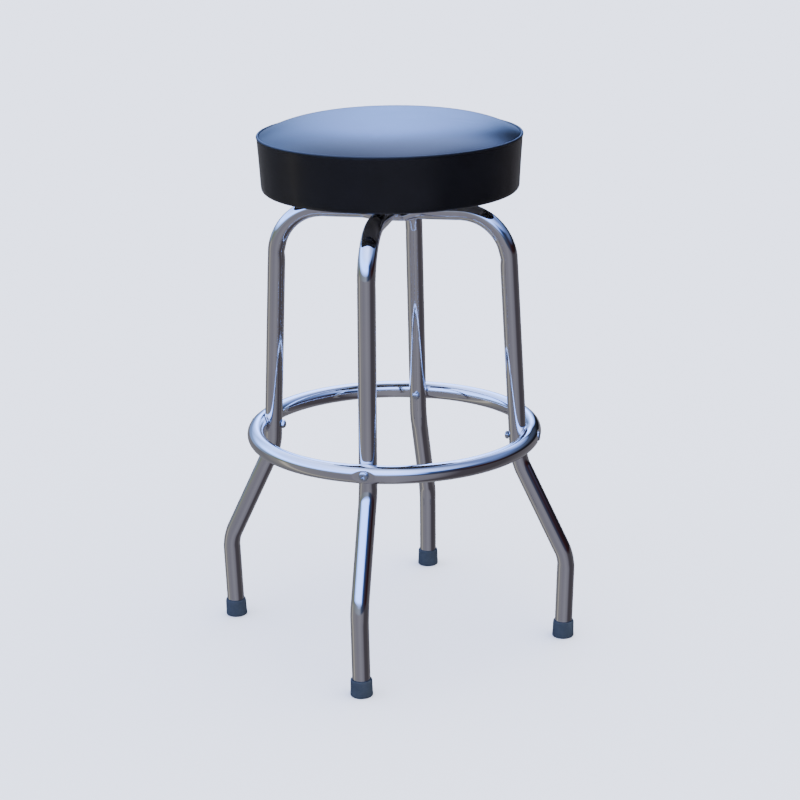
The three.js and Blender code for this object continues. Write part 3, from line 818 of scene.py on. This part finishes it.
for k, (side, angle) in enumerate(SIDES):
    s = phillips_screw(f"tapping_screw_{side}", TOP_RUN_Z + 6.5, 2.2, Z2 + 0.05, 4.9, 3.3, 2.3)
    s.data.transform(Matrix.Translation((PLATE_HOLE_R * math.cos(angle) * MM, PLATE_HOLE_R * math.sin(angle) * MM, 0)) @ Matrix.Rotation(0.4 + k, 4, "Z"))
    finish_piece(s, ZINC, "base", [f"plate_screw_{side}"])

for i in range(4):
    a = (2 * i + 1) * PI / 4
    s = phillips_screw(f"board_screw_{i + 1}", 0.0, 2.15, 14.0, 4.5, 2.9, 2.2)
    # upside down: head below the upper plate, shank up into the board
    s.data.transform(Matrix.Translation((PLATE_HOLE_R * math.cos(a) * MM, PLATE_HOLE_R * math.sin(a) * MM, (Z3 - 0.05 + 14.0) * MM)) @ Matrix.Rotation(PI, 4, "X") @ Matrix.Rotation(0.3 + i, 4, "Z"))
    finish_piece(s, ZINC, "seat", [f"seat_screw_{i + 1}"])


def ball_cage():
    """A thin pressed ring with round pockets."""
    bm = bmesh.new()
    seg = 360
    r0, r1 = 23.6, 36.4
    rows = [r0, 26.0, 28.0, 30.0, 32.0, 34.0, r1]
    prof = [(r0, BALL_Z - 0.5), (r1, BALL_Z - 0.5), (r1, BALL_Z + 0.5), (r0, BALL_Z + 0.5)]
    bm.free()
    ob = lathe("cage_ring", rounded(prof, 0.35, 3, closed=True), seg)
    cutters = []
    for i in range(BALL_COUNT):
        a = 2 * PI * i / BALL_COUNT
        c = lathe(f"cut_{i}", [(0, BALL_Z - 3), (5.0, BALL_Z - 3), (5.0, BALL_Z + 3), (0, BALL_Z + 3)], 48)
        c.data.transform(Matrix.Translation((BALL_TRACK_R * math.cos(a) * MM, BALL_TRACK_R * math.sin(a) * MM, 0)))
        cutters.append(c)
    cut = join("cage_cut", cutters)
    mod = ob.modifiers.new("pockets", "BOOLEAN")
    mod.operation, mod.solver, mod.object = "DIFFERENCE", "EXACT", cut
    dg = bpy.context.evaluated_depsgraph_get()
    me = bpy.data.meshes.new_from_object(ob.evaluated_get(dg))
    ob.modifiers.clear()
    ob.data = me
    bpy.data.objects.remove(cut, do_unlink=True)
    ob.data.set_sharp_from_angle(angle=math.radians(40))
    ob.name = "pressed_ball_cage"
    return ob


cage = ball_cage()
finish_piece(cage, BEARING, "cage", ["ball_cage"])
for i in range(BALL_COUNT):
    a = 2 * PI * i / BALL_COUNT
    prof = [(BALL_R * math.sin(t), BALL_Z - BALL_R * math.cos(t)) for t in np.linspace(0, PI, 25)]
    prof[0], prof[-1] = (0, BALL_Z - BALL_R), (0, BALL_Z + BALL_R)
    b = lathe(f"steel_ball_{i + 1:02d}", prof, 40)
    b.data.transform(Matrix.Translation((BALL_TRACK_R * math.cos(a) * MM, BALL_TRACK_R * math.sin(a) * MM, 0)))
    finish_piece(b, BEARING, "cage", [f"bearing_ball_{i + 1:02d}"])

pin = lathe("riveted_pin", rounded([(0, 643.2), (9.8, 643.2), (11, 644.2), (11, 646.4), (6, 646.4), (6, 661.3), (10, 661.3), (10, 662.8), (8, 664.3), (0, 664.3)], 0.5, 3), 72)
pin.data.set_sharp_from_angle(angle=math.radians(40))
finish_piece(pin, BEARING, "seat", ["swivel_pin"])
bush = lathe("acetal_bushing", rounded([(6.35, 649.35), (10.5, 649.35), (10.5, 658.35), (6.35, 658.35)], 0.5, 3, closed=True), 72)
bush.data.set_sharp_from_angle(angle=math.radians(40))
finish_piece(bush, ACETAL, "seat", ["pivot_bushing"])

# ---------------------------------------------------------------- the seat
board = lathe("plywood_board", rounded([(0, BOARD_Z), (BOARD_R, BOARD_Z), (BOARD_R, BOARD_Z + BOARD_T), (0, BOARD_Z + BOARD_T)], 0.8, 3), 160)
board.data.set_sharp_from_angle(angle=math.radians(40))
finish_piece(board, WOOD, "seat", ["seat_board"])


def crown_z(r):
    return WELT_Z + CROWN_RISE * (1 - (np.minimum(np.abs(r), CROWN_EDGE_R + 0.5) / (WELT_TRACK_R - 0.6)) ** 4.4)


def concentric_disc(n):
    """A square grid of n by n cells laid on a disc of radius 1."""
    a = np.linspace(-1, 1, n + 1)
    X, Y = np.meshgrid(a, a, indexing="ij")
    R = np.where(np.abs(X) > np.abs(Y), X, Y)
    with np.errstate(divide="ignore", invalid="ignore"):
        phi = np.where(np.abs(X) > np.abs(Y), (PI / 4) * (Y / np.where(X == 0, 1, X)), PI / 2 - (PI / 4) * (X / np.where(Y == 0, 1, Y)))
    x, y = R * np.cos(phi), R * np.sin(phi)
    edge = []
    idx = lambda i, j: i * (n + 1) + j
    edge += [idx(i, 0) for i in range(n)] + [idx(n, j) for j in range(n)] + [idx(i, n) for i in range(n, 0, -1)] + [idx(0, j) for j in range(n, 0, -1)]
    return np.stack([x.ravel(), y.ravel()], -1), grid_faces(n + 1, n + 1), edge


def simulate_crown(xy, faces, edge):
    """The round top panel, sewn down all round its edge and swollen by the foam, as cloth.
    It starts lower than the finished crown and the pressure raises it."""
    r = np.hypot(xy[:, 0], xy[:, 1]) * CROWN_EDGE_R
    edge_z = float(crown_z(CROWN_EDGE_R))
    goal = crown_z(r)
    start = np.stack([xy[:, 0] * CROWN_EDGE_R, xy[:, 1] * CROWN_EDGE_R, edge_z + (goal - edge_z) * 0.965], -1)
    ob = new_object("crown_cloth", start, faces)
    vg = ob.vertex_groups.new(name="pin")
    vg.add([int(i) for i in edge], 1.0, "REPLACE")
    md = ob.modifiers.new("cloth", "CLOTH")
    st = md.settings
    st.quality = 8
    st.mass = 0.35
    st.tension_stiffness = st.compression_stiffness = 30
    st.shear_stiffness = 12
    st.bending_stiffness = 6
    st.use_pressure = True
    st.uniform_pressure_force = 4.0
    st.effector_weights.gravity = 0.0
    st.vertex_group_mass = "pin"
    md.collision_settings.use_collision = False
    md.point_cache.frame_start, md.point_cache.frame_end = 1, 20
    for f in range(1, 21):
        scene.frame_set(f)
    ev = ob.evaluated_get(bpy.context.evaluated_depsgraph_get())
    co = np.empty(len(ev.data.vertices) * 3)
    ev.data.vertices.foreach_get("co", co)
    co = co.reshape(-1, 3) / MM
    scene.frame_set(1)
    bpy.data.objects.remove(ob, do_unlink=True)
    moved = co - start
    print("crown cloth: start top", round(float(start[:, 2].max()), 2), "swollen top", round(float(co[:, 2].max()), 2), "largest move", round(float(np.abs(moved).max()), 2))
    # The foam inside limits how far the panel can leave the crown that it was cut for.
    out = co.copy()
    out[:, 2] = goal + 1.2 * np.tanh((co[:, 2] - goal) / 1.2)
    out[:, :2] = start[:, :2] + np.clip(moved[:, :2], -1.0, 1.0)
    out[edge] = start[edge]
    return out


def seat_top():
    n = 72
    xy, faces, edge = concentric_disc(n)
    a = np.arctan2(xy[:, 1], xy[:, 0])
    r = np.hypot(xy[:, 0], xy[:, 1]) * CROWN_EDGE_R
    top = simulate_crown(xy, faces, edge)
    # hand-cut foam is never quite even near the edge, and each stitch draws the edge in a little
    uneven = 0.07 * np.sin(2 * a + 0.7) + 0.04 * np.sin(3 * a + 2.1)
    top[:, 2] += uneven * smoothstep(70, 150, r) * smoothstep(CROWN_EDGE_R, 168, r)
    top[:, 2] += 0.05 * np.sin(88 * a + 1.3 * np.sin(7 * a)) * np.exp(-((CROWN_EDGE_R - r) / 4.0) ** 2)
    base = float(crown_z(CROWN_EDGE_R))
    top[:, 2] = base + (top[:, 2] - base) * (SEAT_HEIGHT - base) / (top[:, 2].max() - base)
    # the seam allowance: down and in under the piping, so that the panel is sewn and not just resting
    e = list(edge)
    ea = a[e]
    hems = []
    for rad, z in ((CROWN_EDGE_R + 0.55, crown_z(CROWN_EDGE_R) - 0.35), (SEAM_R, WELT_Z - 1.0), (SEAM_R - 0.3, WELT_Z - 2.2)):
        hems.append(np.stack([rad * np.cos(ea), rad * np.sin(ea), np.full(len(e), float(z))], -1))
    m = len(top)
    outer = np.concatenate([top] + hems)
    mid = np.array([0, 0, VINYL_T])
    inset = np.concatenate([np.stack([top[:, 0] * 0.992, top[:, 1] * 0.992, top[:, 2]], -1)] + [h * np.array([0.992, 0.992, 1]) for h in hems])
    under = inset - mid * np.concatenate([np.ones(m), np.ones(3 * len(e)) * 0.2])[:, None]
    t = len(outer)
    k2 = len(e)
    loops = [e] + [[m + i * k2 + k for k in range(k2)] for i in range(3)]
    fs = [tuple(q) for q in faces] + [tuple(t + q[::-1]) for q in faces]
    for la, lb in zip(loops[:-1], loops[1:]):
        for k in range(k2):
            kk = (k + 1) % k2
            fs.append((la[k], la[kk], lb[kk], lb[k]))
            fs.append((t + la[k], t + lb[k], t + lb[kk], t + la[kk]))
    last = loops[-1]
    for k in range(k2):
        kk = (k + 1) % k2
        fs.append((last[k], last[kk], t + last[kk], t + last[k]))
    ob = outward(new_object("vinyl_top_panel", np.concatenate([outer, under]), fs))
    sub = ob.modifiers.new("smooth", "SUBSURF")
    sub.levels = sub.render_levels = 1
    return ob


top_panel = seat_top()
finish_piece(top_panel, VINYL, "seat", ["seat_cover_top"])


def band_r(z):
    t = (z - 664) / (WELT_Z - 3 - 664)
    return SEAT_BOTTOM_R * (1 - t) * (1 - 2 * t) + SEAT_MID_R * 4 * t * (1 - t) + SEAT_TOP_R * t * (2 * t - 1)


def seat_band():
    """The boxing: a strip round the side, turned under and stapled to the board, with pleats where it is gathered."""
    seg = 720
    ang = np.linspace(0, 2 * PI, seg, endpoint=False)
    outer = [(150.0, SEAT_BOTTOM_Z + 0.1), (154.0, SEAT_BOTTOM_Z), (160.0, SEAT_BOTTOM_Z), (166.0, SEAT_BOTTOM_Z), (170.0, SEAT_BOTTOM_Z), (SEAT_BOTTOM_R - 6.6, SEAT_BOTTOM_Z + 0.05)]
    c0 = (SEAT_BOTTOM_R - 6.4, SEAT_BOTTOM_Z + 6.4)
    for k in range(1, 9):
        t = k / 9 * PI / 2
        outer.append((c0[0] + 6.4 * math.sin(t), c0[1] - 6.4 * math.cos(t)))
    zs = np.linspace(SEAT_BOTTOM_Z + 7.0, WELT_Z - 4.6, 22)
    outer += [(float(band_r(z)), float(z)) for z in zs]
    outer += [(float(band_r(WELT_Z - 3.6)), WELT_Z - 3.6), (float(band_r(WELT_Z - 3)) - 0.05, WELT_Z - 2.6), (float(band_r(WELT_Z - 3)) - 0.12, WELT_Z - 1.7), (float(band_r(WELT_Z - 3)) - 0.25, WELT_Z - 0.9)]
    rows = []
    for i, (r, z) in enumerate(outer):
        rr = np.full(seg, float(r))
        zz = np.full(seg, float(z))
        if z > SEAT_BOTTOM_Z + 7:
            h = (z - SEAT_BOTTOM_Z) / (WELT_Z - SEAT_BOTTOM_Z)
            # long soft tension ripples from the staples, dying out towards the welt
            rr += 0.16 * np.sin(23 * ang + 1.1 * np.sin(3 * ang) + 1.6 * h) * (1 - h) * smoothstep(0, 0.12, h)
            rr += 0.10 * np.sin(41 * ang + 2.0 * np.sin(2 * ang)) * (1 - h) ** 2
            # small pull marks from the welt stitches
            rr += 0.07 * np.sin(110 * ang) * smoothstep(0.9, 1.0, h)
            # the sewn vertical joint of the boxing, at the back
            d = np.angle(np.exp(1j * (ang - math.radians(100)))) * SEAT_MID_R
            rr += -0.55 * np.exp(-(d / 0.9) ** 2) + 0.22 * np.exp(-((np.abs(d) - 2.4) / 1.3) ** 2)
        elif r < SEAT_BOTTOM_R - 6.7:
            w = smoothstep(SEAT_BOTTOM_R - 8, 156, r)
            fold = np.abs(np.sin(23 * ang + 1.1 * np.sin(3 * ang)))
            zz += 0.42 * w * (1 - fold ** 0.6)
            rr += (0.9 * np.sin(17 * ang) + 0.6 * np.sin(31 * ang + 1)) * smoothstep(156, 150, r)
        rows.append(np.stack([rr * np.cos(ang), rr * np.sin(ang), zz], -1))
    inner = []
    prof_in = [(SEAT_TOP_R - 1.5, WELT_Z - 1.2), (SEAT_TOP_R - 1.6, WELT_Z - 3.2)] + [(float(band_r(z)) - VINYL_T, float(z)) for z in np.linspace(WELT_Z - 4.6, SEAT_BOTTOM_Z + 8, 8)]
    prof_in += [(SEAT_BOTTOM_R - 2.0, SEAT_BOTTOM_Z + 4.4), (SEAT_BOTTOM_R - 4.6, SEAT_BOTTOM_Z + 1.9), (SEAT_BOTTOM_R - 7.0, SEAT_BOTTOM_Z + 1.15), (160.0, SEAT_BOTTOM_Z + 1.15), (150.6, SEAT_BOTTOM_Z + 1.15)]
    for r, z in prof_in:
        inner.append(np.stack([r * np.cos(ang), r * np.sin(ang), np.full(seg, z)], -1))
    allrows = rows + inner
    verts = np.concatenate(allrows)
    ob = outward(new_object("vinyl_side_band", verts, grid_faces(len(allrows), seg, loop_u=True, loop_v=True)))
    return ob


band = seat_band()
finish_piece(band, VINYL, "seat", ["seat_cover_band"])


def welt_piping():
    seg, sec = 720, 20
    ang = np.linspace(0, 2 * PI, seg, endpoint=False)
    ph = np.linspace(0, 2 * PI, sec, endpoint=False)
    T, P = np.meshgrid(ang, ph, indexing="ij")
    lay = 0.06 * np.sin(110 * T) + 0.09 * np.sin(5 * T + 1.0)
    a = WELT_R * (1 + 0.02 * np.sin(37 * T) + 0.025 * np.sin(110 * T + 0.5))
    # a tail that runs into the seam, on the inside
    tail = np.exp(-((np.angle(np.exp(1j * (P - PI)))) / 0.5) ** 2)
    r = WELT_TRACK_R + lay * 0.5 + a * np.cos(P)
    z = WELT_Z + 0.1 + 0.05 * np.sin(3 * T) + a * np.sin(P) * (1 - 0.25 * tail)
    d = np.angle(np.exp(1j * (T - math.radians(100)))) * WELT_TRACK_R
    notch = 1 - 0.18 * np.exp(-(d / 0.8) ** 2)
    r = WELT_TRACK_R + (r - WELT_TRACK_R) * notch
    verts = np.stack([r * np.cos(T), r * np.sin(T), z], -1).reshape(-1, 3)
    return outward(new_object("vinyl_welt", verts, grid_faces(seg, sec, True, True)))


welt = welt_piping()
finish_piece(welt, PIPING, "seat", ["welt_piping"])

foam_prof = [(0, 674.2), (170, 674.2), (175.4, 677), (176.6, 684), (178.4, 706), (180.0, 726), (179.4, 733.0), (174.6, float(crown_z(174.6)) - 2.2)]
foam_prof += [(r, float(crown_z(r)) - 2.4) for r in (168, 160, 148, 132, 110, 84, 56, 28)] + [(0, SEAT_HEIGHT - 2.4)]
foam = lathe("foam_pad", rounded(foam_prof, 2.0, 3), 120)
finish_piece(foam, FOAM, "seat", ["seat_foam"])


def staples():
    """Wire staples that hold the turned-under vinyl to the board."""
    parts = []
    count = 46
    rng = np.random.default_rng(3)
    for i in range(count):
        a = 2 * PI * i / count + rng.normal(0, 0.012)
        tilt = rng.normal(0, 0.12)
        r = 157.5 + rng.normal(0, 0.7)
        w, t = 4.8, 0.38
        # crown of the staple as a flattened wire with bent ends
        path = [(-w, 1.1), (-w, 0.25), (-w + 0.35, -0.1), (-w + 1.0, -0.22), (w - 1.0, -0.22), (w - 0.35, -0.1), (w, 0.25), (w, 1.1)]
        sec = [(t * math.cos(k * PI / 4), t * math.sin(k * PI / 4)) for k in range(8)]
        verts, nv = [], 8
        for j, (u, z) in enumerate(path):
            p0, p1 = path[max(j - 1, 0)], path[min(j + 1, len(path) - 1)]
            d = np.array([p1[0] - p0[0], p1[1] - p0[1]])
            d /= np.linalg.norm(d)
            nrm = np.array([-d[1], d[0]])
            for s1, s2 in sec:
                verts.append((u + nrm[0] * s1, s2 * 0.8, z + nrm[1] * s1))
        faces = [tuple(q) for q in grid_faces(len(path), nv, loop_v=True)] + [tuple(range(nv))[::-1], tuple(range((len(path) - 1) * nv, len(path) * nv))]
        o = outward(new_object(f"st_{i}", verts, faces))
        o.data.transform(Matrix.Rotation(a, 4, "Z") @ Matrix.Translation((r * MM, 0, SEAT_BOTTOM_Z * MM)) @ Matrix.Rotation(PI / 2 + tilt, 4, "Z"))
        parts.append(o)
    return join("band_staples", parts)


finish_piece(staples(), STAPLE, "seat")

# ---------------------------------------------------------------- floor and light
def floor():
    s = 60.0
    ob = new_object("studio_floor", [(-s, -s, 0), (s, -s, 0), (s, s, 0), (-s, s, 0)], [(0, 1, 2, 3)], smooth=False, scale=1.0)
    m, nt, b = material("pale_floor")
    b.inputs["Base Color"].default_value = (0.86, 0.86, 0.86, 1)
    b.inputs["Roughness"].default_value = 0.9
    b.inputs["Specular IOR Level"].default_value = 0.0
    geo = nt.nodes.new("ShaderNodeNewGeometry")
    clear = nt.nodes.new("ShaderNodeBsdfTransparent")
    mix = nt.nodes.new("ShaderNodeMixShader")
    end = [n for n in nt.nodes if n.type == "OUTPUT_MATERIAL"][0]
    nt.links.new(geo.outputs["Backfacing"], mix.inputs[0])
    nt.links.new(b.outputs[0], mix.inputs[1])
    nt.links.new(clear.outputs[0], mix.inputs[2])
    nt.links.new(mix.outputs[0], end.inputs["Surface"])
    ob.data.materials.append(m)
    ob.visible_glossy = False        # the metal mirrors the plain surroundings below


floor()


def surroundings():
    """Soft studio surroundings: a broad pale sky, a grey ground, a dark flag to the right."""
    w = bpy.data.worlds.new("studio")
    scene.world = w
    w.use_nodes = True
    nt = w.node_tree
    nt.nodes.clear()
    out = nt.nodes.new("ShaderNodeOutputWorld")
    tc = nt.nodes.new("ShaderNodeTexCoord")
    c, s = math.cos(YAW_ROW), math.sin(YAW_ROW)
    right = node(nt, "ShaderNodeVectorMath", {0: tc.outputs["Generated"], 1: (c, s, 0)}, operation="DOT_PRODUCT").outputs["Value"]
    front = node(nt, "ShaderNodeVectorMath", {0: tc.outputs["Generated"], 1: (s, -c, 0)}, operation="DOT_PRODUCT").outputs["Value"]
    up = node(nt, "ShaderNodeVectorMath", {0: tc.outputs["Generated"], 1: (0, 0, 1)}, operation="DOT_PRODUCT").outputs["Value"]
    az = maprange(nt, math_node(nt, "ARCTAN2", right, front), -PI, PI, 0.0, 1.0)   # 0 back, .25 left, .5 front, .75 right
    ground = ramp(nt, az, [(0.00, (0.24, 0.24, 0.27)), (0.16, (0.18, 0.18, 0.20)), (0.222, (0.27, 0.262, 0.255)), (0.240, (0.60, 0.56, 0.48)), (0.260, (0.25, 0.245, 0.265)),
                           (0.40, (0.215, 0.21, 0.255)), (0.50, (0.265, 0.26, 0.31)), (0.590, (0.20, 0.195, 0.235)), (0.645, (0.070, 0.062, 0.076)), (0.76, (0.070, 0.063, 0.074)), (0.86, (0.15, 0.14, 0.155)), (1.0, (0.24, 0.24, 0.27))])
    horizon = ramp(nt, az, [(0.00, (1.0, 1.7, 4.2)), (0.014, (0.62, 1.0, 2.2)), (0.032, (0.20, 0.31, 0.62)), (0.12, (0.30, 0.45, 0.85)), (0.22, (0.20, 0.23, 0.17)), (0.34, (0.24, 0.26, 0.30)),
                            (0.48, (0.34, 0.38, 0.50)), (0.55, (0.05, 0.07, 0.13)), (0.68, (0.034, 0.011, 0.012)), (0.82, (0.012, 0.012, 0.018)),
                            (0.962, (0.012, 0.013, 0.018)), (0.979, (0.62, 1.0, 2.2)), (1.0, (1.0, 1.7, 4.2))])
    sky = ramp(nt, az, [(0.00, (1.9, 3.2, 8.2)), (0.024, (1.1, 1.8, 4.2)), (0.060, (0.60, 0.95, 2.0)), (0.15, (1.2, 2.1, 5.2)), (0.25, (1.2, 2.1, 5.0)), (0.44, (1.15, 2.0, 5.2)), (0.530, (1.05, 1.8, 4.8)),
                        (0.575, (0.05, 0.10, 0.30)), (0.64, (0.02, 0.022, 0.035)), (0.74, (0.14, 0.20, 0.42)), (0.86, (0.08, 0.11, 0.20)), (0.958, (0.04, 0.05, 0.08)), (0.976, (1.1, 1.8, 4.2)), (1.0, (1.9, 3.2, 8.2))])
    low = mix_rgb(nt, maprange(nt, up, -0.05, 0.03, 0.0, 1.0), ground, horizon)
    full = mix_rgb(nt, maprange(nt, up, 0.16, 0.36, 0.0, 1.0), low, sky)
    high = ramp(nt, up, [(0.45, (1.8, 2.9, 7.2)), (0.62, (1.9, 2.75, 5.8)), (0.86, (2.25, 2.95, 5.7)), (0.93, (1.8, 2.35, 4.3)), (1.0, (0.9, 1.15, 2.0))])
    shade = ramp(nt, az, [(0.0, (1, 1, 1)), (0.03, (0.88, 0.88, 0.86)), (0.06, (0.68, 0.68, 0.64)), (0.14, (0.50, 0.52, 0.54)), (0.5, (0.75, 0.78, 0.82)), (0.62, (0.35, 0.36, 0.38)), (0.74, (0.10, 0.11, 0.13)),
                          (0.84, (0.10, 0.11, 0.13)), (0.915, (0.40, 0.41, 0.42)), (0.942, (0.92, 0.92, 0.90)), (0.96, (1, 1, 1)), (1.0, (1, 1, 1))])
    high = mix_rgb(nt, 1.0, high, shade, "MULTIPLY")
    zenith = mix_rgb(nt, maprange(nt, up, 0.43, 0.61, 0.0, 1.0), full, high)
    mirrored = node(nt, "ShaderNodeBackground", {"Color": zenith, "Strength": 1.0})
    # what lights the matt surfaces is neutral, and what the camera sees behind the stool is plain
    soft = node(nt, "ShaderNodeBackground", {"Color": ramp(nt, maprange(nt, up, -1.0, 1.0, 0.0, 1.0), [(0.0, (0.9, 0.9, 0.92)), (0.5, (2.6, 2.6, 2.65)), (1.0, (4.2, 4.2, 4.3))]), "Strength": 1.0})
    plain = node(nt, "ShaderNodeBackground", {"Color": (2.35, 2.42, 2.55, 1), "Strength": 1.0})
    lp = nt.nodes.new("ShaderNodeLightPath")
    m1, m2 = nt.nodes.new("ShaderNodeMixShader"), nt.nodes.new("ShaderNodeMixShader")
    nt.links.new(lp.outputs["Is Diffuse Ray"], m1.inputs[0])
    nt.links.new(mirrored.outputs[0], m1.inputs[1])
    nt.links.new(soft.outputs[0], m1.inputs[2])
    nt.links.new(lp.outputs["Is Camera Ray"], m2.inputs[0])
    nt.links.new(m1.outputs[0], m2.inputs[1])
    nt.links.new(plain.outputs[0], m2.inputs[2])
    nt.links.new(m2.outputs[0], out.inputs[0])


surroundings()
